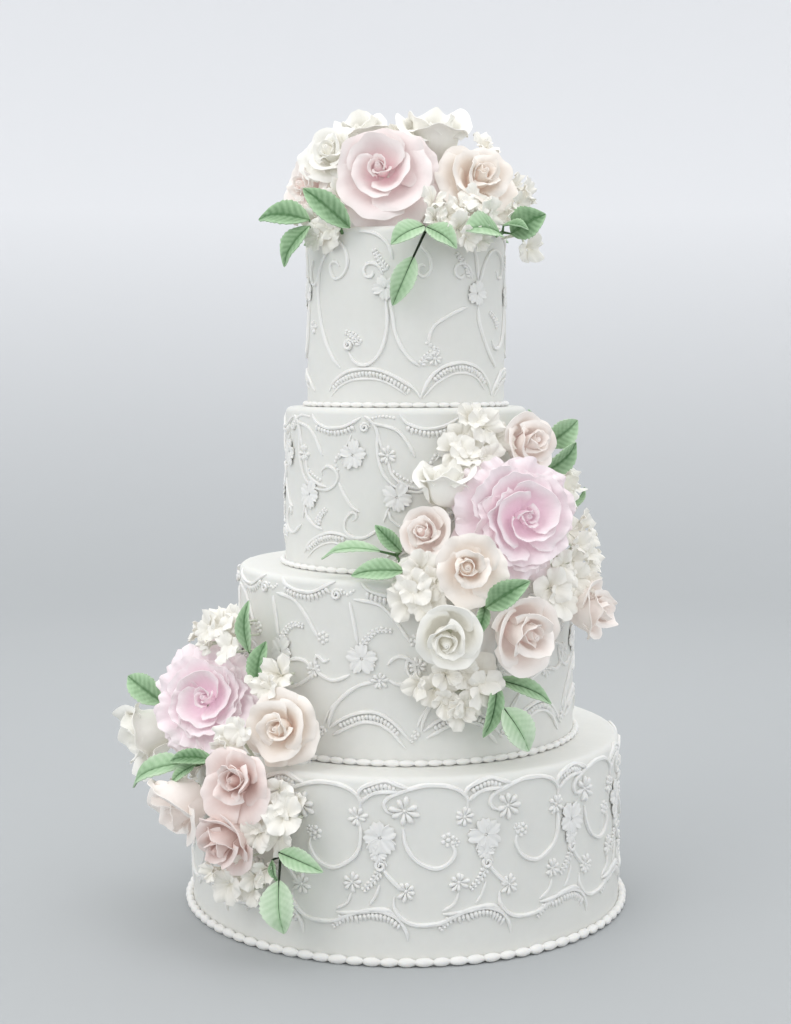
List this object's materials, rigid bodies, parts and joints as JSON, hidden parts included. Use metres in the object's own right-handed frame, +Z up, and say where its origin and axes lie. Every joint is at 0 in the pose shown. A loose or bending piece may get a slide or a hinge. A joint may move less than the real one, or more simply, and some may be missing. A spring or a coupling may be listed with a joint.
{
  "type": "tiered wedding cake",
  "caption": "Stacked round wedding cake in ivory fondant with piped scrollwork, a pearl border at each tier's foot and sprays of sugar roses, peonies, blossoms and leaves; rests on a flat base.",
  "frame": {"origin": "centre of the bottom tier's flat underside, on the axis that all four tiers share", "axes": "+Z up along the tiers' axis, -Y towards the front, +X to the viewer's right"},
  "size_m": [0.3941, 0.3479, 0.603],
  "materials": {
    "fondant": "satin ivory fondant",
    "royal_icing": "dry piped royal icing",
    "petals_pink": "matte sugar paste, pink at the heart and pale at the rim",
    "petals_blush": "matte sugar paste, dusted blush",
    "petals_peach": "matte sugar paste, dusted peach",
    "petals_white": "matte ivory sugar paste",
    "leaves_green": "matte green sugar paste with pressed veins"
  },
  "bodies": {
    "root": {"tier_base": "fondant", "tier_lower_middle": "fondant", "tier_upper_middle": "fondant", "tier_top": "fondant", "border_base": "royal_icing", "border_lower_middle": "royal_icing", "border_upper_middle": "royal_icing", "border_top": "royal_icing", "top_peony": "petals_pink", "top_rose_ivory": "petals_white", "top_rose_peach": "petals_peach", "top_rose_left": "petals_blush", "top_rose_cream": "petals_white", "top_rose_crown": "petals_white", "top_rose_back": "petals_blush", "top_rose_back_right": "petals_white", "top_rose_back_left": "petals_peach", "right_peony": "petals_pink", "right_rose_high": "petals_blush", "right_rose_white": "petals_white", "right_rose_small": "petals_blush", "right_rose_peach": "petals_peach", "right_rose_ivory": "petals_white", "right_rose_blush": "petals_blush", "right_rose_side": "petals_blush", "right_rose_behind": "petals_white", "left_peony": "petals_pink", "left_rose_peach": "petals_peach", "left_rose_white": "petals_white", "left_rose_mauve": "petals_blush", "left_rose_outer": "petals_blush", "left_rose_low": "petals_blush", "blossoms_top_left": "petals_white", "blossoms_top_front": "petals_white", "blossoms_top_right": "petals_white", "blossom_top_hanging": "petals_white", "blossoms_right_high": "petals_white", "blossoms_right_side": "petals_white", "blossoms_right_inner": "petals_white", "blossoms_right_low": "petals_white", "blossoms_left_high": "petals_white", "blossoms_left_shoulder": "petals_white", "blossoms_left_inner": "petals_white", "blossoms_left_front": "petals_white", "blossoms_left_low": "petals_white", "leaves_top_left": "leaves_green", "leaf_top_left_dark": "leaves_green", "leaves_top_front": "leaves_green", "leaves_top_right": "leaves_green", "leaves_top_back_left": "leaves_green", "leaves_top_back_right": "leaves_green", "leaves_right_left": "leaves_green", "leaves_right_high": "leaves_green", "leaf_right_side": "leaves_green", "leaves_right_middle": "leaves_green", "leaves_right_low": "leaves_green", "leaves_left_high": "leaves_green", "leaf_left_back": "leaves_green", "leaf_left_middle": "leaves_green", "leaves_left_low": "leaves_green"}
  },
  "joints": []
}
